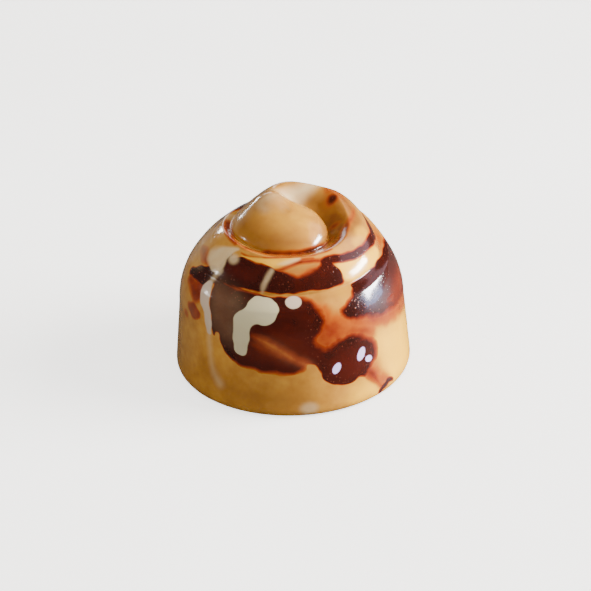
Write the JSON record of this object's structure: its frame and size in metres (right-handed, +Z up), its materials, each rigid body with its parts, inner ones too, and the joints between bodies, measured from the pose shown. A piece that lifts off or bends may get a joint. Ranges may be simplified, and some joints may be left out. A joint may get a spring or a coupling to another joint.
{
  "type": "chocolate praline",
  "caption": "Round moulded chocolate praline with a piped spiral top and a flat underside, marbled in caramel, dark and white.",
  "frame": {"origin": "centre of the flat underside", "axes": "+Z up out of the underside towards the knob, -Y towards the viewer of the picture, +X to the viewer's right"},
  "size_m": [0.0278, 0.0278, 0.0211],
  "materials": {
    "praline": "glossy caramel chocolate marbled with dark and white chocolate"
  },
  "bodies": {
    "root": {"praline": "praline"}
  },
  "joints": []
}
